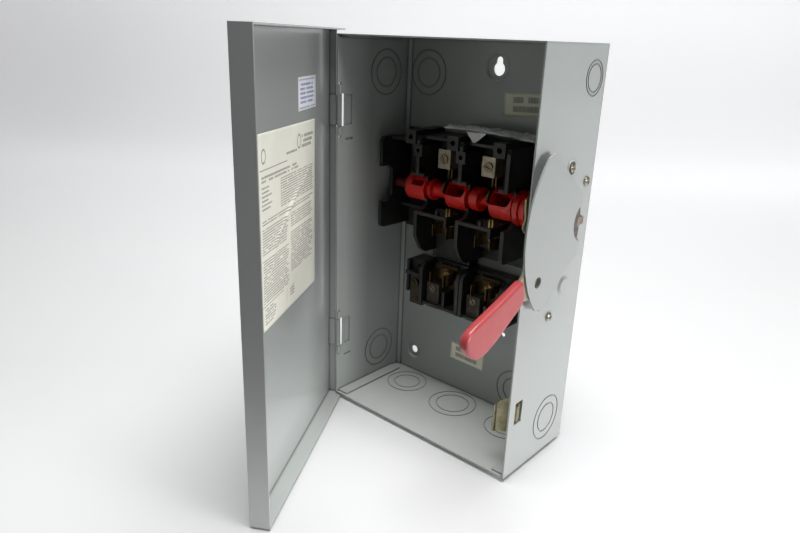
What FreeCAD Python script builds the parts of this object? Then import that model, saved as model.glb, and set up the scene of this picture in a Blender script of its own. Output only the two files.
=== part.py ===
# Side-operated safety (disconnect) switch in a sheet-metal enclosure, door standing open,
# operating handle down (OFF).  Millimetres, +Z up, +X to the right, +Y into the wall.
# Everything is drawn in box coordinates (front bottom left outer corner of the box = 0,0,0)
# and moved once, by its Placement, so that the keyhole centre on the wall plane is the origin.
import FreeCAD, Part
import math
import os
import re
import Sketcher

V = FreeCAD.Vector
doc = FreeCAD.newDocument("disconnect_switch")
sheet = doc.addObject("Spreadsheet::Sheet", "Dims")

# alias, value, note
DIMS = [
    ("box_w", 219.0, "outer width of the box"),
    ("box_d", 101.5, "outer depth of the box, without the mounting dimples"),
    ("box_hh", 372.4, "outer height of the box"),
    ("gauge", 1.5, "sheet thickness"),
    ("side_flange", 13.0, "inward flange of a side panel at top and bottom"),
    ("back_flange", 5.5, "inward flange of a side panel at the back"),
    ("dimple_out", 2.5, "how far the mounting dimples stand off the back"),
    ("key_x", 112.0, "keyhole centre from the left"),
    ("key_z", 346.2, "keyhole centre from the bottom"),
    ("key_rad", 6.2, "keyhole large radius"),
    ("key_slot", 7.1, "keyhole slot width"),
    ("key_rise", 7.55, "keyhole slot end above the keyhole centre"),
    ("door_lap", 2.3, "how far the closed door stands past the box on each side"),
    ("door_low", 2.1, "how far the closed door stands below the box"),
    ("door_high", 4.6, "how far the closed door stands above the box"),
    ("door_front", -9.0, "front plane of the closed door"),
    ("door_flange", 16.6, "depth of the door flanges"),
    ("hinge_flange", 8.4, "depth of the hinge side door flange"),
    ("hinge_x", 0.75, "hinge axis from the left"),
    ("hinge_y", 2.8, "hinge axis from the front"),
    ("pin_rad", 1.3, "hinge pin radius"),
    ("knuckle_rad", 2.4, "hinge knuckle outer radius"),
    ("door_open", 58.5, "door opening angle at rest, degrees"),
    ("groove", 1.5, "knockout groove width"),
    ("groove_dep", 0.62, "knockout groove depth on each face"),
    ("ko_small", 14.1, "radius of the small knockout"),
    ("ko_large", 21.85, "radius of the large knockout"),
    ("pole_a", 85.8, "centre of the left live pole"),
    ("pole_pitch", 51.5, "pole pitch"),
    ("base_left", 9.0, "left side of the switch base"),
    ("wall_one", 57.8, "left face of the first barrier"),
    ("barrier", 4.0, "barrier thickness"),
    ("base_front", 52.0, "front edge of the barriers"),
    ("floor_front", 97.0, "front face of the base floor"),
    ("boss_off", 7.8, "boss screw, left of its barrier's left face"),
    ("boss_z", 280.0, "height of the boss screws"),
    ("foot_z", 188.0, "height of the lower base screws"),
    ("axis_y", 78.0, "rotor and handle axis from the front"),
    ("axis_z", 226.7, "rotor and handle axis from the bottom"),
    ("neck_rad", 8.5, "rotor neck radius"),
    ("crank_rad", 13.0, "crank pin from the rotor axis"),
    ("blade_rad", 18.8, "blade tip radius"),
    ("blade_thk", 2.0, "blade thickness"),
    ("strap_y", 80.8, "front face of the current straps"),
    ("strap_thk", 1.5, "strap thickness"),
    ("line_off", 3.3, "line lug screw, left of the pole centre"),
    ("line_z", 261.2, "height of the line lug screws"),
    ("load_off", 11.6, "load lug screw, left of the pole centre"),
    ("load_z", 124.6, "height of the load lug screws"),
    ("upper_clip", 190.0, "centre height of the upper fuse clips"),
    ("lower_clip", 140.0, "centre height of the lower fuse clips"),
    ("clip_tall", 12.0, "fuse clip height"),
    ("clip_in", 10.3, "fuse clip inner radius"),
    ("clip_thk", 1.0, "fuse clip thickness"),
    ("clip_hole", 2.1, "radius of the fuse clip screw holes"),
    ("block_left", 60.5, "left side of the left fuse block"),
    ("block_low", 106.0, "bottom of the fuse blocks"),
    ("block_tall", 46.0, "height of the fuse blocks"),
    ("block_wall", 4.0, "side wall thickness of the fuse blocks"),
    ("block_bolt", 146.5, "height of the fuse block screws"),
    ("shaft_rad", 6.0, "drive shaft radius"),
    ("plate_in", 225.7, "inner face of the handle plate"),
    ("plate_thk", 1.5, "handle plate thickness"),
    ("fan_rad", 93.6, "radius of the handle plate arc"),
    ("lever_in", 223.4, "inner face of the lever"),
    ("lever_thk", 2.3, "lever thickness"),
    ("grip_in", 221.7, "inner face of the grip"),
    ("grip_thk", 7.8, "grip thickness"),
    ("lock_rad", 4.75, "padlock hole radius"),
]
for row, (alias, value, note) in enumerate(DIMS, 1):
    sheet.set("A%d" % row, note)
    sheet.set("B%d" % row, str(value))
    sheet.setAlias("B%d" % row, alias)
doc.recompute()
dim = {alias: float(sheet.get(alias)) for alias, _, _ in DIMS}
AXIS_Y, AXIS_Z = dim["axis_y"], dim["axis_z"]

# ---------------------------------------------------------------- helpers
# A size or place is a number, or a string of sheet aliases that becomes a bound expression.
TURN_Z_TO = {
    "X": FreeCAD.Rotation(V(0, 1, 0), 90),
    "Y": FreeCAD.Rotation(V(1, 0, 0), -90),
    "Z": FreeCAD.Rotation(),
}


def bound(text):
    return re.sub(r"[A-Za-z_]\w*",
                  lambda word: "Dims." + word.group(0) if word.group(0) in dim else word.group(0),
                  text)


def put(obj, prop, value):
    if isinstance(value, str):
        obj.setExpression(prop, bound(value))
    else:
        setattr(obj, prop, value)


def place(obj, rotation, x, y, z):
    fixed = [0 if isinstance(value, str) else value for value in (x, y, z)]
    obj.Placement = FreeCAD.Placement(V(*fixed), rotation)
    for letter, value in zip("xyz", (x, y, z)):
        if isinstance(value, str):
            obj.setExpression("Placement.Base." + letter, bound(value))
    return obj


def primitive(kind, axis, x, y, z, **sizes):
    obj = doc.addObject("Part::" + kind, kind)
    for prop, value in sizes.items():
        put(obj, prop, value)
    return place(obj, TURN_Z_TO[axis], x, y, z)


def box(x, y, z, dx, dy, dz):
    return primitive("Box", "Z", x, y, z, Length=dx, Width=dy, Height=dz)


def cyl(axis, x, y, z, radius, length):
    return primitive("Cylinder", axis, x, y, z, Radius=radius, Height=length)


def cone(axis, x, y, z, radius1, radius2, length):
    return primitive("Cone", axis, x, y, z, Radius1=radius1, Radius2=radius2, Height=length)


def on_axis(x, radius, length):
    # cylinder along the rotor and handle axis
    return cyl("X", x, "axis_y", "axis_z", radius, length)


def fuse(*objs):
    if len(objs) == 1:
        return objs[0]
    obj = doc.addObject("Part::MultiFuse", "fuse")
    obj.Shapes = list(objs)
    return obj


def boolean(kind, base, tool):
    obj = doc.addObject("Part::" + kind, kind)
    obj.Base = base
    obj.Tool = tool
    return obj


def cut(base, *tools):
    return boolean("Cut", base, fuse(*tools))


def common(base, tool):
    return boolean("Common", base, tool)


def group(*objs):
    obj = doc.addObject("Part::Compound", "group")
    obj.Links = list(objs)
    return obj


def prism(name, plane, outline, start, thick, spline=False):
    # body padded from a closed outline on an origin plane towards the positive axis;
    # with spline, a curve runs through the points and a straight line closes it
    body = doc.addObject("PartDesign::Body", name)
    sketch = body.newObject("Sketcher::SketchObject", body.Name + "_sketch")
    origin_plane = [f for f in body.Origin.OriginFeatures if f.Role == plane][0]
    sketch.AttachmentSupport = [(origin_plane, "")]
    sketch.MapMode = "FlatFace"
    sign = -1.0 if plane == "XZ_Plane" else 1.0      # the XZ plane's normal is -Y
    points = [V(a, b, 0) for a, b in outline]
    if spline:
        curve = Part.BSplineCurve()
        curve.interpolate(points)
        sketch.addGeometry(curve, False)
        sketch.addGeometry(Part.LineSegment(points[-1], points[0]), False)
    else:
        lines = [sketch.addGeometry(Part.LineSegment(a, b), False)
                 for a, b in zip(points, points[1:] + points[:1])]
        for a, b in zip(lines, lines[1:] + lines[:1]):
            sketch.addConstraint(Sketcher.Constraint("Coincident", a, 2, b, 1))
    if isinstance(start, str):
        sketch.setExpression("AttachmentOffset.Base.z", "%d*(%s)" % (sign, bound(start)))
    else:
        sketch.AttachmentOffset = FreeCAD.Placement(V(0, 0, sign * start), FreeCAD.Rotation())
    pad = body.newObject("PartDesign::Pad", body.Name + "_pad")
    pad.Profile = sketch
    put(pad, "Length", thick)
    pad.Reversed = sign < 0
    body.Tip = pad
    doc.recompute()
    return body


def slot_bar(x, y, z, head_rad, width, depth, turn):
    # bar that cuts a screwdriver slot into the front of a head, turned about Y
    bar = box(0, 0, 0, 2 * head_rad + 2, depth, width)
    rotation = FreeCAD.Rotation(V(0, 1, 0), turn)
    middle = rotation.multVec(V(head_rad + 1, 0, width / 2.0))
    return place(bar, rotation, "%s - (%.6f)" % (x, middle.x), y - 0.01,
                 "%s - (%.6f)" % (z, middle.z))


def slotted_head(x, y, z, radius, thick, turn, width=1.2, depth=1.1):
    return cut(cyl("Y", x, y, z, radius, thick), slot_bar(x, y, z, radius, width, depth, turn))


def slotted_screw(x, y, z, radius, thick, length, turn):
    # head towards the front, shank of the given length behind it
    return fuse(slotted_head(x, y, z, radius, thick, turn),
                cyl("Y", x, y + thick - 0.2, z, 2.0, length + 0.2))


def knockout(axis, face, a, b, radii):
    # groove rings on both faces of a sheet; face is the sheet's lower face along its normal
    rings = []
    for radius in radii:
        for start in (face, f"{face} + gauge - groove_dep"):
            spot = {"X": (start, a, b), "Y": (a, start, b), "Z": (a, b, start)}[axis]
            rings.append(cut(cyl(axis, *spot, f"{radius} + groove/2", "groove_dep"),
                             cyl(axis, *spot, f"{radius} - groove/2", "groove_dep")))
    return rings


# ---------------------------------------------------------------- shared places
TWO_RINGS = ("ko_small", "ko_large")
POLES = ("pole_a", "pole_a + pole_pitch")
BARRIERS = ["wall_one + %d*pole_pitch" % k for k in range(3)]
BLOCKS = ["block_left + %d*pole_pitch" % k for k in range(2)]
BLOCK_BOLTS = (9.5, 41.1)            # screw centres from a fuse block's left side
FOOT_XS = (35.0, 149.0)              # lower base screws
HINGE_WINDOWS = ((288.0, 30.5), (55.5, 31.5))                     # bottom z, height
MECHANISM_SCREWS = ((59.7, 274.1), (89.1, 259.3), (48.9, 144.1))  # y, z


# ---------------------------------------------------------------- enclosure
# mounting dimples: x, z, outer radii, inner radii (each at the sheet, then at the wall)
DIMPLES = [
    (111.8, 348.3, (15, 13), (13.6, 11.9)),
    (25.6, 26.4, (11, 9.4), (9.6, 8.2)),
    (200.4, 26.4, (11, 9.4), (9.6, 8.2)),
]


def back_pan():
    # back, bottom and top of the box
    pan = fuse(
        box(0, "box_d - gauge", 0, "box_w", "gauge", "box_hh"),
        box(0, 0, 0, "box_w", "box_d - gauge", "gauge"),
        box(0, 0, "box_hh - gauge", "box_w", "box_d - gauge", "gauge"),
        *[cone("Y", x, "box_d - gauge", z, *outer, "gauge + dimple_out")
          for x, z, outer, _ in DIMPLES])
    cuts = [cone("Y", x, "box_d - gauge - 0.001", z, *inner, "dimple_out")
            for x, z, _, inner in DIMPLES]
    cuts += [
        cyl("Y", "key_x", 90, "key_z", "key_rad", 20),
        box("key_x - key_slot/2", 90, "key_z", "key_slot", 20, "key_rise"),
        cyl("Y", "key_x", 90, "key_z + key_rise", "key_slot/2", 20),
    ]
    cuts += [cyl("Y", x, 90, z, 4.25, 20) for x, z, _, _ in DIMPLES[1:]]
    cuts.append(cyl("Y", 144.6, 90, 85.0, 2.25, 20))
    # holes for the base and fuse block screws
    cuts += [cyl("Y", f"{left} - boss_off", 95, "boss_z", 2.05, 10) for left in BARRIERS[:2]]
    cuts += [cyl("Y", x, 95, "foot_z", 2.05, 10) for x in FOOT_XS]
    cuts += [cyl("Y", f"{left} + {bolt}", 95, "block_bolt", 1.75, 10)
             for left in BLOCKS for bolt in BLOCK_BOLTS]
    for x, z in ((29.6, 338.3), (165.0, 27.5)):
        cuts += knockout("Y", "box_d - gauge", x, z, TWO_RINGS)
    for face in ("0", "box_hh - gauge"):
        for x, y, radii in ((41.2, 72.6, TWO_RINGS), (107.8, 70.5, (17.25, 25)),
                            (174.5, 72.6, TWO_RINGS)):
            cuts += knockout("Z", face, x, y, radii)
    return cut(pan, *cuts)


def side_sheet(wall_x, flange_x, back_flange_x):
    # side wall with its bottom, top and back flanges
    return [
        box(wall_x, 0, "gauge", "gauge", "box_d - gauge", "box_hh - 2*gauge"),
        box(flange_x, 3, "gauge", "side_flange", 87, "gauge"),
        box(flange_x, 3, "box_hh - 2*gauge", "side_flange", 87, "gauge"),
        box(back_flange_x, "box_d - 2*gauge", "gauge",
            "back_flange", "gauge", "box_hh - 2*gauge"),
    ]


def left_side_panel():
    solids = side_sheet(0, "gauge", "gauge")
    cuts = []
    for z, tall in HINGE_WINDOWS:
        # fixed knuckles below and above the window
        for knuckle_z in (z - 8.3, z + tall + 0.3):
            solids.append(cyl("Z", "hinge_x", "hinge_y", knuckle_z, "knuckle_rad", 8.0))
        cuts += [
            box(-4, -1, z, 8, 10.0, tall),
            # shallow pockets in the inner face, behind and below the window
            box(0.6, 11.0, z + 1.0, 2, 8.0, tall - 2),
            box(0.7, 11, z - 13.5, 4, 9, 2.2),
            cyl("Z", "hinge_x", "hinge_y", z - 10.5, "pin_rad + 0.05", tall + 21),
        ]
    for y, z in ((66.9, 337.6), (66.0, 33.5)):
        cuts += knockout("X", "0", y, z, TWO_RINGS)
    return cut(fuse(*solids), *cuts)


def right_side_panel():
    wall_x = "box_w - gauge"
    round_y, round_z = 69, 168.1     # large dimple
    top_y, top_z = MECHANISM_SCREWS[0]
    solids = side_sheet(wall_x, "box_w - gauge - side_flange", "box_w - gauge - back_flange")
    solids += [
        cone("X", wall_x, round_y, round_z, 10, 6.5, "gauge + 2.0"),
        cone("X", wall_x, top_y, top_z, 8.0, 6.6, "gauge + 1.0"),
    ]
    cuts = [
        cone("X", "box_w - gauge - 0.001", round_y, round_z, 8.6, 5.2, 2.0),
        on_axis("box_w - 5", 9.3, 12),
        box("box_w - 5", 9, 51, 10, 11.6, 22),             # window for the door latch
        cyl("X", "box_w - 0.2", top_y, top_z, 5.4, 3),     # seat of the top screw head
    ]
    cuts += [cyl("X", "box_w - 5", y, z, 2.3, 10) for y, z in MECHANISM_SCREWS]
    cuts += knockout("X", wall_x, 81.4, 345.3, (11.1, "ko_small"))
    cuts += knockout("X", wall_x, 67.2, 35.0, TWO_RINGS)
    return cut(fuse(*solids), *cuts)


def hinge_pins():
    return group(*[cyl("Z", "hinge_x", "hinge_y", z - 8.6, "pin_rad", tall + 17.2)
                   for z, tall in HINGE_WINDOWS])


# ---------------------------------------------------------------- door, drawn closed
def door_panel():
    inner_tall = "box_hh + door_low + door_high - 2*gauge"
    return cut(
        box("-door_lap", "door_front", "-door_low",
            "box_w + 2*door_lap", "door_flange", "box_hh + door_low + door_high"),
        box("gauge - door_lap", "door_front + gauge", "gauge - door_low",
            "box_w + 2*door_lap - 2*gauge", 30, inner_tall),
        # the hinge side flange is shorter
        box("-door_lap - 1", "door_front + hinge_flange", "gauge - door_low",
            "gauge + 1", 30, inner_tall))


def door_hinge_leaves():
    leaves = []
    for window_z, window_tall in HINGE_WINDOWS:
        z, tall = window_z + 0.3, window_tall - 0.6
        leaves.append(cut(
            fuse(box("gauge - door_lap", "door_front + gauge + 0.3", z + 1.0,
                     1.2, 10.0, tall - 2.0),
                 cyl("Z", "hinge_x", "hinge_y", z, "knuckle_rad", tall)),
            cyl("Z", "hinge_x", "hinge_y", z - 1, "pin_rad + 0.05", tall + 2),
            box("hinge_x", "hinge_y - 3.1", z - 1, 3, 1.0, tall + 2)))
    return group(*leaves)


def label_sheet(x, y, z, width, height, turn):
    # thin label turned in its own plane about its lower left corner, counterclockwise from
    # the front; its place is not bound, since a label can be a piece moved by its Placement
    return place(box(0, 0, 0, width, LABEL_THICK, height),
                 FreeCAD.Rotation(V(0, 1, 0), -turn), x, y, z)


LABEL_THICK = 0.25
LABEL_ON_BACK = dim["box_d"] - dim["gauge"] - LABEL_THICK
LABEL_ON_DOOR = dim["door_front"] + dim["gauge"]


def instruction_label():
    return group(label_sheet(50.84, LABEL_ON_DOOR, 146.56, 136.2, 153.2, 1.4))


def inspection_sticker():
    return group(box(43.4, "door_front + gauge", 309.8, 47.9, 0.2, 27.6))


def line_label():
    return label_sheet(122.9, LABEL_ON_BACK, 304.4, 62.0, 21.7, 3.0)


def load_label():
    return label_sheet(79.0, LABEL_ON_BACK, 36.6, 44.0, 19.5, -2.0)


# ---------------------------------------------------------------- moulded switch base
BASE_LOW, BASE_TOP = 176.0, 282.0
SKIRT_LOW = 162.0                    # bottom of the first two barriers
# lower front corners of the walls: y behind the front edge, z above the bottom
CHAMFER = [(5, 0), (1.2, 1.2), (0, 5)]
SKIRT_CORNER = [(17.5, 0), (13.5, 1.6), (9.0, 5.4), (3.6, 13.6), (0.6, 19.0), (0, 22.5)]


def wall_profile(corner, bottom, top):
    # side profile (y, z): full depth above and below, set back at the rotor
    front = dim["base_front"]
    rear = dim["floor_front"] + 0.5
    return [(rear, bottom)] + [(front + y, bottom + z) for y, z in corner] + [
        (front, 208.0), (62.5, 208.0), (68.0, 213.0), (68.0, 240.4), (62.5, 245.4),
        (front, 245.4), (front, top - 4), (front + 3, top), (rear, top)]


def base_solids():
    lower_corners = [(SKIRT_CORNER, SKIRT_LOW), (SKIRT_CORNER, SKIRT_LOW), (CHAMFER, BASE_LOW)]
    solids = [prism("end_wall", "YZ_Plane", wall_profile(CHAMFER, 180.5, 275.5),
                    "base_left", 4.0)]
    for left, (corner, bottom) in zip(BARRIERS, lower_corners):
        solids.append(prism("barrier_wall", "YZ_Plane", wall_profile(corner, bottom, BASE_TOP),
                            left, "barrier"))
    solids += [
        # floor, its lower extension, and the skirt behind the fuse blocks
        box("base_left", "floor_front", BASE_LOW,
            "wall_one + 2*pole_pitch + barrier - base_left", 3, BASE_TOP - BASE_LOW),
        box("wall_one", "floor_front", SKIRT_LOW, "2*pole_pitch + barrier", 3, 15.0),
        box("wall_one", 86.0, 153.5, 48.0, 14.0, 24.0),
    ]
    for k, left in enumerate(BARRIERS):
        # screw boss at the upper left of the barrier, its web, and a second boss below
        solids.append(box(f"{left} - 14.1", "base_front - 0.6", 273.4, 12.6, 45.6, 13.1))
        solids.append(box(f"{left} - 2", "base_front + 2", 275.0, 4, 43.5, 7.0))
        if k < 2:
            solids.append(box(f"{left} - 3.4", "base_front - 0.6", 262.2, 10.8, 45.6, 11.6))
        # foot at the lower end of the upper half of the barrier
        solids.append(box(f"{left} - 6.0", "base_front + 0.2", 243.2,
                          16.0 if k < 2 else 10.0, 9.0, 2.8))
    platform_depth = "floor_front - strap_y - strap_thk + 1"
    for k in range(2):
        left = "wall_one + barrier + %d*pole_pitch" % k
        bay = "pole_pitch - barrier"
        solids += [
            # lower front rail, its small post and the wall at its right end
            box(left, "base_front + 0.2", 204.6, 36.5, 3.4, 3.2),
            box(f"{left} + 22.5", "base_front + 0.2", 207.0, 3.0, 3.4, 5.6),
            box(f"{left} + 33.9", "base_front + 0.2", 198.0, 2.6, 31.0, 9.8),
            # line and load strap platforms, upper cross wall
            box(left, "strap_y + strap_thk", 253.0, bay, platform_depth, 28.0),
            box(left, "strap_y + strap_thk", 178.0, bay, platform_depth, 28.0),
            box(left, 60, 279.2, bay, 36, 2.8),
        ]
    # cross walls of the left bay
    solids.append(box("base_left + 2", 66, 272.5, "wall_one - base_left - 1", 32, 3.0))
    solids.append(box("base_left + 2", 84, 200.5, "wall_one - base_left - 1", 14, 3.0))
    return solids


def base_cuts():
    cuts = []
    for left in BARRIERS:
        # bearing slot for a rotor neck, open to the front, with a recess on each barrier face
        cuts += [
            on_axis(f"{left} - 1", "neck_rad + 0.1", 6.0),
            box(f"{left} - 1", 60, "axis_z - neck_rad - 0.1",
                6.0, "axis_y - 60", "2*neck_rad + 0.2"),
            on_axis(f"{left} - 0.1", 17.5, 1.1),
            on_axis(f"{left} + 3.2", 17.5, 0.9),
        ]
    for k, left in enumerate(BARRIERS):
        boss_x = f"{left} - boss_off"
        cuts.append(cyl("Y", boss_x, 50, "boss_z", 2.6, 44.0 if k < 2 else 10.0))
        if k < 2:
            cuts.append(cyl("Y", boss_x, 50, "boss_z", 2.1, 60.0))
            cuts.append(cyl("Y", f"{left} + 2.0", 50, 268.0, 2.3, 12.0))
    cuts += [cyl("Y", x, 95, "foot_z", 2.1, 10) for x in FOOT_XS]
    cuts.append(cyl("Y", FOOT_XS[1], 80, "foot_z", 4.3, 17.0))
    for pole in POLES:
        cuts.append(cyl("Y", f"{pole} - line_off", 75, "line_z", 2.6, 20))
        cuts.append(cyl("Y", pole, 75, "upper_clip", "clip_hole", 16))
    return cuts


def switch_base():
    return cut(fuse(*base_solids()), *base_cuts())


def base_screws():
    # two deep in the bosses, two at the bottom of the base
    return group(
        *[slotted_screw(f"{left} - boss_off", 88.0, "boss_z", 2.5, 3.0, 11.0, turn)
          for left, turn in zip(BARRIERS, (20, 65))],
        *[slotted_screw(x, 93.8, "foot_z", 4.0, 3.2, 5.0, turn)
          for x, turn in zip(FOOT_XS, (40, 10))])


# ---------------------------------------------------------------- contacts, lugs, fuse clips
def jaw(pole, z, height):
    # two leaves, one on each side of the blade
    return [box(f"{pole} + blade_thk/2 + 0.1", 71, z, 1.5, 11.3, height),
            box(f"{pole} - blade_thk/2 - 1.6", 71, z, 1.5, 11.3, height)]


def line_jaws():
    return group(*[
        cut(fuse(*jaw(pole, 242.2, 9.6),
                 box(f"{pole} - 9", "strap_y", 247.2, 15.0, "strap_thk", 24.5)),
            cyl("Y", f"{pole} - line_off", 75, "line_z", 2.6, 12))
        for pole in POLES])


def line_lug(pole):
    screw_x = f"{pole} - line_off"
    return cut(
        box(f"{pole} - 10.6", 64.6, 252.0, 14.6, "strap_y - 64.6", 18.6),
        cyl("Z", screw_x, 74.2, 250, 4.6, 24),
        cyl("Y", screw_x, 60, "line_z", 4.05, 14),
        cyl("Y", screw_x, 60, "line_z", 2.6, 30))


def line_lugs():
    return group(*[line_lug(pole) for pole in POLES])


def line_lug_screws():
    screws = []
    for pole, turn in zip(POLES, (70.0, 12.0)):
        x = f"{pole} - line_off"
        head = slotted_head(x, 63.4, "line_z", 4.8, 1.15, turn, width=1.3, depth=1.0)
        screws.append(fuse(head, cyl("Y", x, 64.5, "line_z", 4.0, 6.0)))
    return group(*screws)


def load_jaws():
    return group(*[
        cut(fuse(*jaw(pole, 200.6, 10.6),
                 box(f"{pole} - 7", "strap_y", 181.0, 14.0, "strap_thk", 25.2)),
            cyl("Y", pole, 75, "upper_clip", "clip_hole", 12))
        for pole in POLES])


def fuse_clip(pole, clip_z):
    # upright C open to the front, with a straight ear on each side
    centre_y = "strap_y - clip_in - clip_thk"
    low = f"{clip_z} - clip_tall/2"
    shell = cut(
        cyl("Z", pole, centre_y, low, "clip_in + clip_thk", "clip_tall"),
        cyl("Z", pole, centre_y, f"{low} - 1", "clip_in", "clip_tall + 2"),
        box(f"{pole} - 8", 50, f"{low} - 1", 16, 13.5, "clip_tall + 2"),
        cyl("Y", pole, 75, clip_z, "clip_hole", 12))
    return fuse(
        shell,
        box(f"{pole} + 8", "strap_y - 22.3", low, 1.0, 4.4, "clip_tall"),
        box(f"{pole} - 9", "strap_y - 22.3", low, 1.0, 4.4, "clip_tall"))


def clip_screws(clip_z):
    return group(*[slotted_screw(pole, 75.5, clip_z, 4.0, 3.2, 8.8, turn)
                   for pole, turn in zip(POLES, (25.0, 80.0))])


def upper_fuse_clips():
    return group(*[fuse_clip(pole, "upper_clip") for pole in POLES])


def upper_clip_screws():
    return clip_screws("upper_clip")


def lower_fuse_clips():
    return group(*[fuse_clip(pole, "lower_clip") for pole in POLES])


def lower_clip_screws():
    return clip_screws("lower_clip")


# ---------------------------------------------------------------- fuse / load blocks
def fuse_block(left):
    front, rear, round_rad = 62.0, 84.0, 9.0
    low = dim["block_low"]
    top = low + dim["block_tall"]
    profile = [(rear, low), (front + 1, low), (front, low + 1)]
    for degrees in range(0, 91, 15):
        angle = math.radians(degrees)
        profile.append((front + round_rad - round_rad * math.cos(angle),
                        top - round_rad + round_rad * math.sin(angle)))
    profile.append((rear, top))
    solids = [prism("block_side", "YZ_Plane", profile, start, "block_wall")
              for start in (left, f"{left} + 46.5")]
    solids += [
        box(left, "strap_y + strap_thk", "block_low",
            50.5, "box_d - gauge - strap_y - strap_thk", "block_tall"),
        box(f"{left} + 2", 64.5, "block_low", 47, 20, 2.6),
        box(f"{left} + 28.0", 66.0, 108.0, 3.0, 14.8, 17.0),
    ]
    return cut(
        fuse(*solids),
        box(f"{left} + 4.7", 67.6, 100, 17.2, 14.5, 12),       # room for the load lug
        box(f"{left} + 4", 76.0, 147.0, 42.5, 10.0, 10.0),     # upper edge between the walls
        cyl("Y", f"{left} + 25.3", 75, "lower_clip", "clip_hole", 16),
        *[cyl("Y", f"{left} + {bolt}", 80, "block_bolt", 1.8, 30) for bolt in BLOCK_BOLTS])


def left_fuse_block():
    return fuse_block(BLOCKS[0])


def right_fuse_block():
    return fuse_block(BLOCKS[1])


def block_screws():
    return group(*[
        fuse(cyl("Y", f"{left} + {bolt}", 86.3, "block_bolt", 1.7, 15.2),
             cyl("Y", f"{left} + {bolt}", 86.1, "block_bolt", 1.75, 0.5))
        for left in BLOCKS for bolt in BLOCK_BOLTS])


def load_straps():
    return group(*[
        cut(box(f"{pole} - 17", "strap_y", 111.0, 27.0, "strap_thk", 38.0),
            cyl("Y", pole, 75, "lower_clip", "clip_hole", 12))
        for pole in POLES])


def load_lugs():
    return group(*[
        cut(box(f"{pole} - 19.6", 68.4, 103.4, 16.0, "strap_y - 68.4", 27.0),
            cyl("Z", f"{pole} - load_off", 75.0, 100, 4.6, 20),
            cyl("Y", f"{pole} - load_off", 60, "load_z", 3.55, 14))
        for pole in POLES])


def load_lug_screws():
    return group(*[
        slotted_head(f"{pole} - load_off", 67.6, "load_z", 3.5, 5.0, turn, depth=1.2)
        for pole, turn in zip(POLES, (35.0, 60.0))])


# ---------------------------------------------------------------- neutral terminal
NEUTRAL_X = 45.5
NEUTRAL_BOLT_Z = 122.0


def neutral_block():
    left, width = NEUTRAL_X - 12.5, 25.0
    return cut(
        fuse(box(left, 80.0, 110.0, width, 20.0, 36.0),
             box(left, 72.0, 130.0, width, 10.0, 4.0),
             box(left, 74.0, 110.0, 3.0, 10.0, 36.0)),
        cyl("Y", NEUTRAL_X, 76, 140.0, 1.8, 12))


def neutral_lug():
    left, width = NEUTRAL_X - 8.5, 17.0
    return cut(
        fuse(box(left, 76.0, 101.0, width, 4.0, 28.0),
             box(left, 76.0, 97.0, width, 13.0, 12.0)),
        cyl("Z", NEUTRAL_X, 82.6, 90, 4.2, 15),
        cyl("Y", NEUTRAL_X, 70, NEUTRAL_BOLT_Z, 2.1, 14))


def neutral_screws():
    return group(
        slotted_head(NEUTRAL_X, 74.6, 103.0, 3.4, 1.3, 30, width=1.0, depth=0.8),
        slotted_screw(NEUTRAL_X, 72.9, NEUTRAL_BOLT_Z, 3.8, 3.05, 3.9, 55))


# ---------------------------------------------------------------- rotor, blades, drive plate
BLADE_TURN = -28.0                   # about the shaft axis: front tips up
# rotor stations: x from, x to, radius
ROTOR_STATIONS = [
    (13.1, 33.5, 5.0), (33.5, 58.5, 13.7), (58.5, 61.3, "neck_rad"), (61.3, 64.3, 11.0),
    (64.3, 83.6, 7.0), (83.6, 86.9, 9.0), (86.5, 110.0, 14.4), (110.0, 112.8, "neck_rad"),
    (112.8, 121.9, 11.6), (121.9, 134.9, 5.2), (134.9, 138.4, 9.0), (138.0, 161.5, 14.6),
    (161.5, 164.3, "neck_rad"), (164.3, 169.5, 16.5), (169.5, 172.0, 14.0),
    (172.0, 177.0, 16.5), (177.0, 178.0, 9.5),
]
# windows through the drums, rounded at the right end: x from, x to, half height
ROTOR_WINDOWS = [(42.0, 54.0, 3.0), (87.0, 102.0, 6.0), (138.5, 153.5, 6.0)]
# drive plate outline: y, z from the axis
DRIVE_PLATE = [
    (-17.5, 6), (-15.5, -5), (-19.0, -13.0), (-15.0, -18.5), (-7.0, -17.0), (8, -9),
    (15, 2), (13, 15), (6, 19.0), (-10, 18.5), (-17.5, 13),
]


def turned(obj):
    turned_group = group(obj)
    turned_group.Placement = FreeCAD.Placement(
        V(0, 0, 0), FreeCAD.Rotation(V(1, 0, 0), BLADE_TURN), V(0, AXIS_Y, AXIS_Z))
    return turned_group


def rotor():
    overlap = 0.01                   # each station but the first bites into the one before
    solids = []
    for start, end, radius in ROTOR_STATIONS:
        bite = overlap if solids else 0.0
        solids.append(on_axis(start - bite, radius, end - start + bite))
    cuts = []
    for start, end, half in ROTOR_WINDOWS:
        cuts.append(box(start, 58, f"axis_z - {half}", end - start, 40, 2 * half))
        cuts.append(cyl("Y", end, 58, "axis_z", half, 40))
    for pole in POLES:
        cuts.append(box(f"{pole} - blade_thk/2", 58, "axis_z - 5.55",
                        "blade_thk + 0.05", 40, 11.1))
    return cut(fuse(*solids), turned(fuse(*cuts)))


def rotor_blades():
    return group(*[
        turned(common(box(f"{pole} - blade_thk/2 + 0.02", 50, "axis_z - 5.5",
                          "blade_thk - 0.02", 60, 11),
                      on_axis(f"{pole} - 5", "blade_rad", 10)))
        for pole in POLES])


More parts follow.
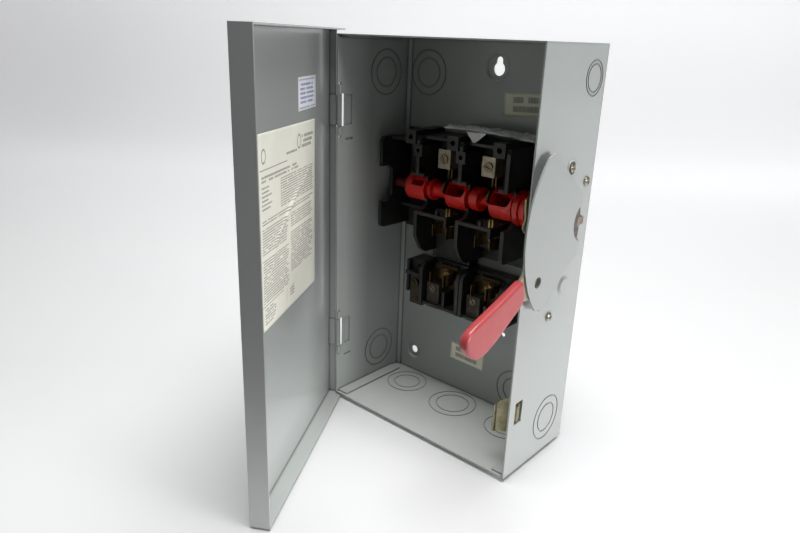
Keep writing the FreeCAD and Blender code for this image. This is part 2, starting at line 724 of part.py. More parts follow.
def rotor_drive_plate():
    outline = [(AXIS_Y + y, AXIS_Z + z) for y, z in DRIVE_PLATE]
    # overlapping holes make a short curved slot for the crank pin
    holes = []
    for degrees in (89.6, 92.2, 94.3, 96.4):
        angle = math.radians(degrees)
        holes.append(cyl("X", 170, AXIS_Y + dim["crank_rad"] * math.cos(angle),
                         AXIS_Z + dim["crank_rad"] * math.sin(angle), 2.7, 15))
    return cut(prism("drive_plate", "YZ_Plane", outline, 178.0, 1.8), *holes)


# ---------------------------------------------------------------- drive shaft and mechanism
BRACKET_OUTLINE = [                  # y, z
    (41.0, 136.0), (57.0, 136.0), (93.0, 205.0), (95.5, 262.0), (90.0, 268.0),
    (66.0, 283.0), (52.0, 283.0), (47.0, 262.0), (46.0, 236.0), (41.0, 170.0),
]


def drive_shaft():
    # shaft with a crank arm and pin at its inner end and two flats at its outer end
    crank_z = "axis_z + crank_rad"
    shaft = fuse(
        on_axis(181.6, "shaft_rad", 42.2),
        box(183.6, "axis_y - 5.5", "axis_z", 3.0, 11.0, "crank_rad"),
        cyl("X", 183.6, "axis_y", crank_z, 5.5, 3.0),
        cyl("X", 177.4, "axis_y", crank_z, 2.5, 7.0))
    return cut(shaft,
               box(222.0, "axis_y - 8", "axis_z + 3.6", 6, 16, 5),
               box(222.0, "axis_y - 8", "axis_z - 8.6", 6, 16, 5))


def shaft_bushing():
    return cut(fuse(on_axis(205.0, 9.0, 14.3), on_axis(205.0, 12.5, 2.0)),
               on_axis(200, "shaft_rad + 0.05", 25))


def mechanism_bracket():
    # plate against the right wall with a shelf over the shaft and a tab near the top
    return cut(
        fuse(prism("bracket_plate", "YZ_Plane", BRACKET_OUTLINE, 216.0, 1.5),
             box(208.2, "axis_y - 16", "axis_z + 13.2", 9.0, 32.0, 1.5),
             box(192.0, 46.5, 264.6, 25.0, 1.6, 8.0)),
        on_axis(200, 9.05, 25),
        *[cyl("X", 210, y, z, 2.1, 10) for y, z in MECHANISM_SCREWS])


def cross_screw(y, z, head_x, radius, thick):
    # cross-slotted screw along X, its head outside the right wall
    face_x = head_x + thick
    return cut(
        fuse(cyl("X", head_x, y, z, radius, thick),
             cone("X", face_x - 0.01, y, z, radius, radius - 1.2, 0.9),
             cyl("X", head_x - 5.2, y, z, 2.0, 5.3)),
        box(face_x - 0.2, y - 0.6, z - 5, 2, 1.2, 10),
        box(face_x - 0.2, y - 5, z - 0.6, 2, 10, 1.2))


def mechanism_screws():
    heads = [(218.85, 4.0, 1.9), (219.05, 4.1, 1.6), (219.05, 4.1, 1.6)]  # x, radius, thickness
    return group(*[cross_screw(*spot, *head) for spot, head in zip(MECHANISM_SCREWS, heads)])


def toggle_spring():
    # coil round the shaft: a round wire swept along a helix
    coil_rad, wire_rad, turns, pitch = 9.3, 0.9, 5.0, 2.3
    helix = Part.makeHelix(pitch, pitch * turns, coil_rad)
    section = Part.Wire([Part.makeCircle(wire_rad, V(coil_rad, 0, 0), V(0, 1, 0))])
    coil = doc.addObject("Part::Feature", "coil_raw")
    coil.Shape = Part.Wire(helix.Edges).makePipeShell([section], True, True)
    return place(coil, TURN_Z_TO["X"], 190.6, AXIS_Y, AXIS_Z)


# ---------------------------------------------------------------- handle in the OFF position
# outlines: y, z
PLATE_TOP = [(14.2, 291.0), (17.5, 291.6), (21.0, 290.7)]
PLATE_REAR = [
    (46.6, 268.6), (70.2, 253.5), (74.7, 237.5), (76.2, 228.4), (75.1, 215.2),
    (71.6, 198.1), (54.0, 187.1),
]
PLATE_BOTTOM = [(24.0, 161.8), (20.8, 160.6), (17.4, 160.3), (15.4, 161.9)]
ARC_START, ARC_END, ARC_STEPS = 226.5, 134.9, 26     # front arc about the axis, degrees
LEVER_OUTLINE = [
    (-77.0, 156.0), (-14.0, 178.4), (-3.0, 174.6), (20.0, 175.5), (43.0, 190.0),
    (46.0, 206.0), (30.0, 213.5), (8.0, 212.5), (-7.0, 205.4), (-16.0, 193.5),
    (-76.0, 170.0), (-79.5, 163.0),
]
GRIP_POINTS = [
    (-17.2, 195.6), (-20.5, 194.8), (-26.0, 192.9), (-42.0, 187.0), (-62.0, 180.2),
    (-77.0, 175.0), (-84.5, 170.6), (-87.4, 164.4), (-84.8, 157.0), (-78.0, 150.6),
    (-71.0, 147.6), (-63.0, 148.2), (-54.0, 151.4), (-37.0, 161.0), (-22.0, 170.2),
    (-15.6, 174.6), (-12.6, 178.6),
]


def padlock_hole():
    return cyl("X", 220, 9.6, 187.6, "lock_rad", 10)


def handle_plate():
    front_arc = []
    for k in range(1, ARC_STEPS):
        angle = math.radians(ARC_START + (ARC_END - ARC_START) * k / ARC_STEPS)
        front_arc.append((AXIS_Y + dim["fan_rad"] * math.cos(angle),
                          AXIS_Z + dim["fan_rad"] * math.sin(angle)))
    outline = PLATE_TOP + PLATE_REAR + PLATE_BOTTOM + front_arc
    plate = prism("fan_plate", "YZ_Plane", outline, "plate_in", "plate_thk")
    # dished hub, trimmed to the outline of the plate
    hub_outer = cone("X", 222.9, "axis_y", "axis_z", 16.2, 19.0, "plate_in + plate_thk - 222.9")
    hub_inner = cone("X", 224.4, "axis_y", "axis_z", 14.8, 17.6,
                     "plate_in + plate_thk - 224.4 + 0.001")
    dish = common(hub_outer, prism("hub_trim", "YZ_Plane", outline, 219.0, 9.0))
    return cut(fuse(plate, dish), hub_inner, on_axis(210, "shaft_rad + 0.03", 20),
               padlock_hole())


def lever_slab(name):
    return prism(name, "YZ_Plane", LEVER_OUTLINE, "lever_in", "lever_thk")


def handle_lever():
    return cut(lever_slab("lever_blank"), padlock_hole())


def handle_grip():
    body = prism("grip_blank", "YZ_Plane", GRIP_POINTS, "grip_in", "grip_thk", spline=True)
    pad = body.Tip
    # round the long curved edges of the two side faces
    rims = ["Edge%d" % number for number, edge in enumerate(pad.Shape.Edges, 1)
            if edge.Length > 60 and abs(edge.BoundBox.XMax - edge.BoundBox.XMin) < 0.01]
    rounding = body.newObject("PartDesign::Fillet", body.Name + "_fillet")
    rounding.Base = (pad, rims)
    rounding.Radius = 2.4
    body.Tip = rounding
    doc.recompute()
    return cut(body, lever_slab("lever_pocket"))


# ---------------------------------------------------------------- door latch and parts bag
LATCH_OUTLINE = [                    # x, y
    (217.4, 50.0), (216.1, 50.0), (216.1, 25.4), (197.4, 12.6), (196.6, 10.2),
    (198.2, 9.8), (198.9, 11.8), (217.4, 24.4),
]
LATCH_TRIM = [                       # x, z of what is cut off above the sloping front part
    (190.0, 59.0), (196.0, 61.0), (200.5, 67.2), (207.0, 71.5), (214.0, 74.6),
    (220.0, 75.4), (220.0, 80.0), (190.0, 80.0),
]


def door_latch():
    # bent spring plate on the right wall, with a nib in the wall's window
    return fuse(
        cut(prism("latch_blank", "XY_Plane", LATCH_OUTLINE, 36.0, 39.0),
            prism("latch_corner", "XZ_Plane", LATCH_TRIM, 0.0, 30.0)),
        box(216.1, 12.0, 54.0, 1.3, 14.0, 15.0),
        box(217.3, 12.0, 54.0, 2.2, 3.0, 15.0))


def parts_bag():
    # bag of spare parts lying on the switch base
    return group(box(80.0, 64.0, 287.0, 99.0, 31.0, 9.0))


# ---------------------------------------------------------------- build, place, check, export
# each function builds one piece and gives it its name
FIXED_PIECES = [
    back_pan, left_side_panel, right_side_panel, hinge_pins, line_label, load_label,
    switch_base, base_screws, line_jaws, line_lugs, line_lug_screws,
    load_jaws, upper_fuse_clips, upper_clip_screws, left_fuse_block, right_fuse_block,
    block_screws, load_straps, load_lugs, load_lug_screws, lower_fuse_clips,
    lower_clip_screws, neutral_block, neutral_lug, neutral_screws,
    rotor, rotor_blades, rotor_drive_plate, drive_shaft, shaft_bushing,
    mechanism_bracket, mechanism_screws, toggle_spring,
    handle_plate, handle_lever, handle_grip, door_latch, parts_bag,
]
DOOR_PIECES = [door_panel, door_hinge_leaves, instruction_label, inspection_sticker]

to_origin = V(-dim["key_x"], -(dim["box_d"] + dim["dimple_out"]), -dim["key_z"])
fixed_shift = FreeCAD.Placement(to_origin, FreeCAD.Rotation())
door_shift = FreeCAD.Placement(to_origin, FreeCAD.Rotation(V(0, 0, 1), -dim["door_open"]),
                               V(dim["hinge_x"], dim["hinge_y"], 0))
pieces = []
for builders, shift in ((FIXED_PIECES, fixed_shift), (DOOR_PIECES, door_shift)):
    for build in builders:
        piece = build()
        piece.Label = build.__name__
        piece.Placement = shift.multiply(piece.Placement)
        pieces.append(piece)
doc.recompute()

bad = ["%s %s %s" % (obj.Name, obj.TypeId, obj.State) for obj in doc.Objects
       if "Invalid" in obj.State or "Error" in obj.State]
for piece in pieces:
    shape = piece.Shape
    if shape.isNull() or not shape.isValid() or not shape.Solids or shape.Volume <= 0:
        bad.append("shape of %s" % piece.Label)
if bad:
    raise RuntimeError("failed objects: " + "; ".join(bad))
os.makedirs("parts", exist_ok=True)
for piece in pieces:
    piece.Shape.exportStep(os.path.join("parts", piece.Label + ".step"))
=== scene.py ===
# A grey enamelled fuse switch box, door standing open, with a red rotor and a red side handle.
# Box coordinates are mm from the front bottom left outer corner of the box: x runs right,
# y back and z up. place() turns them into the row frame, in metres with the same axes.
# The CAD pieces get materials; labels, the film bag and its paper slip are built here.
import bpy
import math
from mathutils import Matrix, Vector, noise


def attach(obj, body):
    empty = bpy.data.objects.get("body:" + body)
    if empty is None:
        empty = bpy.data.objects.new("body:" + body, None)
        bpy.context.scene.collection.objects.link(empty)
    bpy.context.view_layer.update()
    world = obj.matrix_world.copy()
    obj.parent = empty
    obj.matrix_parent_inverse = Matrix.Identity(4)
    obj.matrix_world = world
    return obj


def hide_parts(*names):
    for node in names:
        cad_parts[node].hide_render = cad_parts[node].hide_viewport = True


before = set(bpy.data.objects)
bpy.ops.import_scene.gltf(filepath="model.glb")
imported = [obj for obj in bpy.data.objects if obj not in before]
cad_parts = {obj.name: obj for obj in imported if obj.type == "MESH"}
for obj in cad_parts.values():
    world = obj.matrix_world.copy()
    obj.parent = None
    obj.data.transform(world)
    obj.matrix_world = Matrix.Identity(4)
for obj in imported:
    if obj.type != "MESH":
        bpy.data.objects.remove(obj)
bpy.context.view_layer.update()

FRAME_ORIGIN = (112.0, 104.0, 346.2)  # row frame origin in box coordinates

# door, hinged along its left edge
DOOR_ANGLE = math.radians(-58.5)
HINGE_X, HINGE_Y = 0.75, 2.8
DOOR_INNER_Y = -7.5  # inner face of the closed door

# instruction label, turned on the inner face of the door; centre in closed door coordinates
LABEL_WIDTH, LABEL_HEIGHT = 136.2, 153.2
LABEL_X, LABEL_Z = 117.05, 224.8
LABEL_TURN = math.radians(1.4)

# inspection sticker above it
STICKER_WIDTH, STICKER_HEIGHT = 47.9, 27.6
STICKER_LEFT, STICKER_BOTTOM = 43.4, 309.8

BACK_LABEL_Y = 100.0  # plane on which the two labels inside the back lie

# space that the film bag stays within
BAG_LEFT, BAG_RIGHT = 80.0, 179.0
BAG_FRONT, BAG_BACK = 64.0, 95.0
BAG_BOTTOM, BAG_TOP = 287.0, 296.0

# corners of the paper slip: upper left, upper right, lower tip
SLIP_CORNERS = (
    Vector((107.5, 63.2, 290.6)), Vector((130.5, 62.8, 291.4)), Vector((118.5, 61.0, 280.8)))
SLIP_STEPS = 14
SLIP_THICKNESS = 0.35

FLOOR_Z = -4.0  # box mm

# floor and backdrop, in metres
FLOOR_NEAR, FLOOR_FAR = -2.6, 1.55
SWEEP_RADIUS, SWEEP_STEPS = 0.5, 12
BACKDROP_TOP = 4.0
STAGE_HALF_WIDTH = 4.0

ENAMEL_GREY = (0.43, 0.455, 0.445)


def place(x, y, z):
    """Box millimetres to the row frame in metres."""
    return Vector([(value - zero) / 1000.0 for value, zero in zip((x, y, z), FRAME_ORIGIN)])


def place_on_door(x, y, z):
    """Closed door coordinates (box mm) to the row frame, with the door open."""
    c, s = math.cos(DOOR_ANGLE), math.sin(DOOR_ANGLE)
    dx, dy = x - HINGE_X, y - HINGE_Y
    return place(HINGE_X + c * dx - s * dy, HINGE_Y + s * dx + c * dy, z)


def tint(color, factor, lift=0.0):
    return tuple(min(1.0, c * factor + lift) for c in color)


# ------------------------------------------------------------------ shader building
class Shader:
    """A material with one principled surface and patterns in object space."""

    def __init__(self, name):
        self.material = bpy.data.materials.new(name)
        self.material.use_nodes = True
        self.tree = self.material.node_tree
        self.tree.nodes.clear()
        output = self.node("ShaderNodeOutputMaterial")
        self.surface = self.node("ShaderNodeBsdfPrincipled")
        self.set(output.inputs[0], self.surface.outputs[0])
        self.coords = self.node("ShaderNodeTexCoord").outputs["Object"]

    def node(self, kind, **settings):
        made = self.tree.nodes.new(kind)
        for key, value in settings.items():
            setattr(made, key, value)
        return made

    def set(self, socket, value):
        """Link another socket, or store a plain value."""
        if isinstance(value, bpy.types.NodeSocket):
            self.tree.links.new(value, socket)
            return
        if socket.type == "RGBA" and len(value) == 3:
            value = (*value, 1.0)
        socket.default_value = value

    def fill(self, node, inputs):
        for key, value in inputs.items():
            self.set(node.inputs[key], value)
        return node

    def finish(self, inputs):
        self.fill(self.surface, inputs)
        return self.material

    def mapping(self, scale, rotation=(0, 0, 0)):
        made = self.node("ShaderNodeMapping")
        self.fill(made, {"Scale": scale, "Rotation": rotation, "Vector": self.coords})
        return made.outputs[0]

    def noise(self, scale, detail=3.0, rough=0.55, distortion=0.0, vector=None):
        made = self.node("ShaderNodeTexNoise")
        self.fill(made, {"Scale": scale, "Detail": detail, "Roughness": rough,
                         "Distortion": distortion, "Vector": vector or self.coords})
        return made.outputs["Fac"]

    def remap(self, value, span, to=(0.0, 1.0)):
        made = self.node("ShaderNodeMapRange")
        self.fill(made, dict(enumerate((value, *span, *to))))
        return made.outputs[0]

    def patches(self, span=(0.3, 0.7), to=(0.0, 1.0), **pattern):
        """Noise stretched from span to the wanted range."""
        return self.remap(self.noise(**pattern), span, to)

    def voronoi(self, scale):
        made = self.node("ShaderNodeTexVoronoi", feature="F1")
        self.fill(made, {"Scale": scale, "Vector": self.coords})
        return made.outputs["Distance"]

    def math(self, operation, a, b=0.0):
        made = self.node("ShaderNodeMath", operation=operation)
        self.fill(made, {0: a, 1: b})
        return made.outputs[0]

    def times(self, a, b):
        return self.math("MULTIPLY", a, b)

    def plus(self, a, b):
        return self.math("ADD", a, b)

    def minus(self, a, b):
        return self.math("SUBTRACT", a, b)

    def larger(self, a, b):
        return self.math("MAXIMUM", a, b)

    def between(self, value, low, high):
        above = self.math("GREATER_THAN", value, low)
        return self.times(above, self.math("LESS_THAN", value, high))

    def vector_math(self, operation, a, b=None, output="Value"):
        made = self.node("ShaderNodeVectorMath", operation=operation)
        self.set(made.inputs[0], a)
        if b is not None:
            self.set(made.inputs[1], b)
        return made.outputs[output]

    def mix(self, amount, under, over, mode="MIX"):
        made = self.node("ShaderNodeMix", data_type="RGBA", blend_type=mode)
        self.fill(made, {0: amount, 6: under, 7: over})
        return made.outputs[2]

    def layer(self, color, over, mask, strength):
        return self.mix(self.times(mask, strength), color, over)

    def bump(self, height, strength, distance, normal=None):
        made = self.node("ShaderNodeBump")
        self.fill(made, {"Strength": strength, "Distance": distance, "Height": height})
        if normal is not None:
            self.set(made.inputs["Normal"], normal)
        return made.outputs[0]

    def rounded(self, radius):
        made = self.node("ShaderNodeBevel", samples=4)
        self.set(made.inputs["Radius"], radius)
        return made.outputs[0]

    def edges(self, soft):
        """0 on faces, towards 1 on convex and concave edges, from the rounded normal."""
        normal = self.node("ShaderNodeNewGeometry").outputs["Normal"]
        return self.remap(self.vector_math("DOT_PRODUCT", soft, normal), span=(0.995, 0.80))

    def xyz(self, vector):
        made = self.node("ShaderNodeSeparateXYZ")
        self.set(made.inputs[0], vector)
        return made.outputs

    def facing(self):
        return self.xyz(self.node("ShaderNodeNewGeometry").outputs["Normal"])


# ------------------------------------------------------------------ materials of the CAD pieces
looks = {}


def enamel(name, top_light_and_dust, tone=1.0, rough=0.36, forward_shade=None, lower_light=None, front_edge_light=None, hub=None):
    """Sprayed and baked enamel on sheet steel: faint orange peel, scuffs, worn edges, painted shade
    in seams and corners, and, where asked, painted light and shade by facing and height.
    """
    m = Shader(name)
    base = tint(ENAMEL_GREY, tone)
    soft = m.rounded(radius=0.0007)
    edges = m.edges(soft)
    broad = m.patches(scale=5.0, detail=2.0, rough=0.4)
    fine = m.patches(scale=60.0, rough=0.6, span=(0.45, 0.75))
    col = m.mix(broad, tint(base, 0.97), tint(base, 1.02))
    col = m.layer(col, over=tint(base, 0.8), mask=fine, strength=0.06)

    # scuffs: long thin scratches in two directions
    scuffs = None
    for stretch, turn, gate_scale in (
            ((260.0, 260.0, 7.0), (0.2, 0.12, 0.0), 14.0),
            ((9.0, 9.0, 300.0), (0.35, -0.25, 0.3), 20.0)):
        scratch = m.patches(scale=1.0, detail=2.0, rough=0.5, span=(0.70, 0.76),
                            vector=m.mapping(scale=stretch, rotation=turn))
        gate = m.patches(scale=gate_scale, detail=2.0, rough=0.5, span=(0.55, 0.68))
        scratch = m.times(scratch, gate)
        scuffs = scratch if scuffs is None else m.larger(scuffs, scratch)
    col = m.layer(col, over=tint(base, 1.25), mask=scuffs, strength=0.16)

    # specks of dirt
    specks = m.times(m.remap(m.voronoi(scale=210.0), span=(0.06, 0.03)),
                     m.patches(scale=23.0, detail=2.0, span=(0.58, 0.66)))
    col = m.layer(col, over=(0.10, 0.09, 0.08), mask=specks, strength=0.6)

    # worn edges: thinner paint reads darker, with a few bare bright chips
    chips = m.times(edges, m.patches(scale=420.0, rough=0.7, span=(0.58, 0.66)))
    chips = m.times(chips, m.patches(scale=38.0, detail=2.0, rough=0.5, span=(0.5, 0.62)))
    col = m.layer(col, over=tint(base, 0.62), mask=edges, strength=0.1575)
    col = m.layer(col, over=(0.30, 0.28, 0.25), mask=chips, strength=0.8)

    # painted shade in seams, grooves and corners, from ambient occlusion
    occlusion = m.node("ShaderNodeAmbientOcclusion", samples=6)
    m.set(occlusion.inputs["Distance"], 0.0028)
    crevice_shade = m.remap(occlusion.outputs["AO"], span=(0.35, 0.93), to=(0.9, 0.0))
    col = m.mix(crevice_shade, col, tint(base, 0.16))

    # dust and painted light: faces that look up are paler, except in the seams and corners
    ledge = m.remap(m.facing()[2], span=(0.6, 1.0))
    up_dust_and_light = m.times(
        ledge, m.patches(scale=12.0, detail=5.0, rough=0.65, to=(top_light_and_dust * 0.8, top_light_and_dust)))
    col = m.mix(m.times(up_dust_and_light, m.minus(1.0, crevice_shade)), col, (0.80, 0.82, 0.80))

    if forward_shade:
        # painted shade: the upright faces that look forward are darkened, with a faint brown tint
        forward = m.remap(m.facing()[1], span=(-0.7, -0.98))
        col = m.mix(forward, col, (forward_shade, forward_shade * 1.005, forward_shade * 0.99), "MULTIPLY")
    if lower_light:
        # painted light: paler towards the lower end
        lower = m.remap(m.xyz(m.coords)[2], span=(place(0, 0, 170.0).z, place(0, 0, 20.0).z))
        col = m.mix(lower, col, (lower_light,) * 3, "MULTIPLY")
    if front_edge_light:
        # painted light: the inner face, looking right, is paler along its open front edge
        inner = m.remap(m.facing()[0], span=(0.7, 0.98))
        near = m.remap(m.xyz(m.coords)[1], span=(place(0, 46.0, 0).y, place(0, 12.0, 0).y))
        col = m.mix(m.times(inner, near), col, (front_edge_light,) * 3, "MULTIPLY")
    if hub:
        # a darker brown disc around the hub, in the y-z plane
        offset = m.vector_math("SUBTRACT", m.coords, hub, output="Vector")
        offset = m.vector_math("MULTIPLY", offset, (0.0, 1.0, 1.0), output="Vector")
        disc = m.remap(m.vector_math("LENGTH", offset), span=(0.0178, 0.0168))
        hub_disc_tone = m.mix(m.patches(scale=260.0, detail=4.0, rough=0.6, span=(0.35, 0.65)),
                       (0.034, 0.023, 0.018), (0.10, 0.068, 0.055))
        col = m.mix(disc, col, hub_disc_tone)

    gloss = m.patches(scale=9.0, detail=2.0, rough=0.4, to=(rough - 0.01, rough + 0.015))
    peel = m.noise(scale=620.0, detail=2.0, rough=0.5)
    height = m.minus(m.times(peel, 0.35), m.times(chips, 0.5))
    looks[name] = m.finish({
        "Base Color": col,
        "Roughness": m.plus(gloss, m.times(scuffs, 0.05)),
        "Specular IOR Level": 0.5,
        "Coat Weight": 0.55,
        "Coat Roughness": 0.16,
        "Normal": m.bump(height, strength=0.10, distance=0.0003, normal=soft)})


def phenolic(name, base, edge_color, rough):
    """Black compression-moulded phenolic: satin, grey on the corners, dust on the ledges."""
    m = Shader(name)
    soft = m.rounded(radius=0.0006)
    edges = m.edges(soft)
    mottle = m.patches(scale=120.0, detail=4.0, rough=0.6, span=(0.35, 0.7))
    col = m.mix(mottle, base, tint(base, 1.9))
    col = m.mix(m.times(edges, m.patches(scale=260.0, to=(0.35, 0.95))), col, edge_color)
    facing = m.facing()
    ledge = m.remap(facing[2], span=(0.5, 1.0))
    front = m.remap(facing[1], span=(-0.85, -1.0))
    ledge_dust = m.times(ledge, m.patches(
        scale=70.0, detail=5.0, rough=0.65, span=(0.35, 0.7), to=(0.03, 0.16)))
    front_dust = m.times(front, m.patches(scale=90.0, detail=4.0, rough=0.6, to=(0.04, 0.12)))
    col = m.mix(m.larger(ledge_dust, front_dust), col, (0.17, 0.165, 0.155))
    grain = m.noise(scale=900.0, rough=0.6)
    looks[name] = m.finish({
        "Base Color": col,
        "Roughness": m.patches(scale=55.0, detail=4.0, rough=0.6,
                               to=(rough - 0.08, rough + 0.14)),
        "Specular IOR Level": 0.45,
        "Normal": m.bump(grain, strength=0.14, distance=0.00015, normal=soft)})


def plastic(name, base, dark, rough, grime, radius, coat, bump, grain_scale, shade_end_x=None):
    """Coloured plastic with darker grime and paler edges; where asked, painted shade on one end."""
    m = Shader(name)
    soft = m.rounded(radius)
    edges = m.edges(soft)
    col = m.mix(m.patches(scale=40.0, detail=4.0, rough=0.6), base, tint(base, 1.18))
    stains = m.patches(scale=85.0, detail=5.0, rough=0.65, span=(0.46, 0.72))
    col = m.layer(col, over=dark, mask=stains, strength=grime)
    col = m.layer(col, over=tint(base, 1.5, lift=0.02), mask=edges, strength=0.25)
    if shade_end_x is not None:
        # painted shade over the stub end, left of the given x
        stub_shade = m.remap(m.xyz(m.coords)[0], span=(shade_end_x, shade_end_x + 0.0025), to=(0.88, 0.0))
        col = m.mix(stub_shade, col, (0.035, 0.006, 0.005))
    grain = m.noise(scale=grain_scale, detail=2.0, rough=0.5)
    height = m.plus(grain, m.times(m.noise(scale=70.0, detail=2.0), 2.0))
    looks[name] = m.finish({
        "Base Color": col,
        "Roughness": m.patches(scale=70.0, rough=0.6, to=(rough - 0.05, rough + 0.12)),
        "Coat Weight": coat,
        "Coat Roughness": 0.18,
        "Normal": m.bump(height, strength=bump, distance=0.0003, normal=soft)})


def metal(name, base, alt, rough, grime=(0.10, 0.08, 0.06), grime_amount=0.4, metallic=0.92):
    """Metal drifting between two tones, with grime and brighter edges."""
    m = Shader(name)
    soft = m.rounded(radius=0.0003)
    edges = m.edges(soft)
    drift = m.patches(scale=150.0, detail=4.0, rough=0.65, span=(0.35, 0.68))
    col = m.mix(drift, base, alt)
    stains = m.patches(
        scale=230.0, detail=5.0, rough=0.7, span=(0.50, 0.72), to=(0.0, grime_amount))
    col = m.mix(stains, col, grime)
    col = m.layer(col, over=tint(base, 1.35), mask=edges, strength=0.4)
    gloss = m.patches(scale=110.0, detail=4.0, rough=0.6, to=(rough - 0.08, rough + 0.14))
    grain = m.noise(scale=1200.0, rough=0.6)
    looks[name] = m.finish({
        "Base Color": col,
        "Metallic": metallic,
        "Roughness": m.plus(gloss, m.times(stains, 0.5)),
        "Normal": m.bump(grain, strength=0.2, distance=0.00012, normal=soft)})


# position, colour
CHROMATE_TONES = (
    (0.28, (0.24, 0.26, 0.14)), (0.42, (0.38, 0.35, 0.20)), (0.55, (0.46, 0.42, 0.27)),
    (0.66, (0.38, 0.30, 0.20)), (0.78, (0.30, 0.30, 0.22)))


def chromate(name, brightness):
    """Yellow zinc chromate: gold with drifts of pink and green."""
    m = Shader(name)
    soft = m.rounded(radius=0.0003)
    edges = m.edges(soft)
    drift = m.noise(scale=75.0, rough=0.6, distortion=1.2)
    ramp = m.node("ShaderNodeValToRGB")
    stops = ramp.color_ramp.elements
    while len(stops) < len(CHROMATE_TONES):
        stops.new(0.5)
    for k, (position, color) in enumerate(CHROMATE_TONES):
        stops[k].position = position
        stops[k].color = (*tint(color, brightness), 1.0)
    m.set(ramp.inputs[0], drift)
    stains = m.patches(scale=240.0, detail=5.0, rough=0.7, span=(0.52, 0.75), to=(0.0, 0.45))
    col = m.mix(stains, ramp.outputs[0], (0.12, 0.10, 0.07))
    col = m.layer(col, over=(0.75, 0.72, 0.58), mask=edges, strength=0.35)
    gloss = m.patches(scale=130.0, detail=4.0, to=(0.26, 0.46))
    brushing = m.noise(scale=1.0, detail=2.0, rough=0.6,
                       vector=m.mapping(scale=(300.0, 300.0, 2600.0)))
    looks[name] = m.finish({
        "Base Color": col,
        "Metallic": 0.8,
        "Roughness": m.plus(gloss, m.times(stains, 0.4)),
        "Normal": m.bump(brushing, strength=0.16, distance=0.0001, normal=soft)})


enamel("enamel_grey_pan", top_light_and_dust=0.85, forward_shade=0.78)
enamel("enamel_grey_left", top_light_and_dust=0.6, front_edge_light=1.75)
enamel("enamel_grey_right", top_light_and_dust=0.6, tone=1.06)
enamel("enamel_grey_door", top_light_and_dust=0.05, tone=0.91, rough=0.30, lower_light=1.34)
enamel("enamel_grey_handle", top_light_and_dust=0.1, tone=0.97, hub=tuple(place(227.0, 78.0, 226.7)))
phenolic("phenolic_black", base=(0.010, 0.0097, 0.0093),
         edge_color=(0.050, 0.048, 0.045), rough=0.42)
# a darker copy for the fuse and neutral blocks: painted shade deep in the box
phenolic("phenolic_black_block", base=(0.007, 0.0068, 0.0065),
         edge_color=(0.040, 0.038, 0.036), rough=0.36)
plastic("rotor_red", base=(0.78, 0.013, 0.008), dark=(0.13, 0.004, 0.004), rough=0.28,
        grime=0.50, radius=0.0007, coat=0.25, bump=0.08, grain_scale=500.0,
        shade_end_x=place(33.5, 0, 0).x)
plastic("grip_red_vinyl", base=(0.47, 0.058, 0.064), dark=(0.36, 0.04, 0.05), rough=0.34,
        grime=0.22, radius=0.0022, coat=0.45, bump=0.10, grain_scale=260.0)

# name, base colour, second colour, roughness, then grime colour, grime amount, metallic
METALS = (
    ("plated_steel", (0.58, 0.565, 0.53), (0.46, 0.44, 0.40), 0.34),
    ("tin_plated_lug", (0.42, 0.37, 0.29), (0.31, 0.27, 0.20), 0.38, (0.14, 0.09, 0.05), 0.55, 0.75),
    # a darker copy of the lug metal: painted shade on the lugs deep in the box
    ("tin_plated_lug_dull", (0.085, 0.072, 0.058), (0.055, 0.046, 0.036), 0.5,
     (0.04, 0.03, 0.02), 0.5, 0.6),
    # a darker copy of brass: tarnish and painted shade on the jaws, clips and straps deep in the box
    ("brass_tarnished", (0.15, 0.098, 0.042), (0.085, 0.055, 0.028), 0.36,
     (0.03, 0.022, 0.015), 0.6),
    ("zinc_screw", (0.52, 0.50, 0.42), (0.42, 0.39, 0.30), 0.30, (0.14, 0.12, 0.08), 0.5),
    ("worn_bronze_shaft", (0.46, 0.38, 0.28), (0.32, 0.25, 0.18), 0.30, (0.08, 0.05, 0.03), 0.6),
    ("brass", (0.62, 0.45, 0.18), (0.44, 0.30, 0.12), 0.28, (0.14, 0.10, 0.05), 0.5),
    ("spring_wire", (0.40, 0.40, 0.40), (0.28, 0.27, 0.26), 0.34),
    ("lever_khaki", (0.50, 0.47, 0.36), (0.40, 0.37, 0.27), 0.42, (0.16, 0.14, 0.10), 0.4),
    # darker screw metal; on the load lugs it is painted shade
    ("lug_screw_dark", (0.30, 0.24, 0.18), (0.20, 0.15, 0.11), 0.40, (0.05, 0.035, 0.02), 0.6),
)
for entry in METALS:
    metal(*entry)
chromate("yellow_chromate", brightness=1.0)
# a darker copy of the chromate for the latch: painted shade
chromate("yellow_chromate_latch", brightness=0.74)


# ------------------------------------------------------------------ printed paper
def cell_noise(m, x, y):
    made = m.node("ShaderNodeTexWhiteNoise", noise_dimensions="2D")
    cell = m.fill(m.node("ShaderNodeCombineXYZ"), {0: x, 1: y})
    m.set(made.inputs["Vector"], cell.outputs[0])
    return made.outputs["Value"]


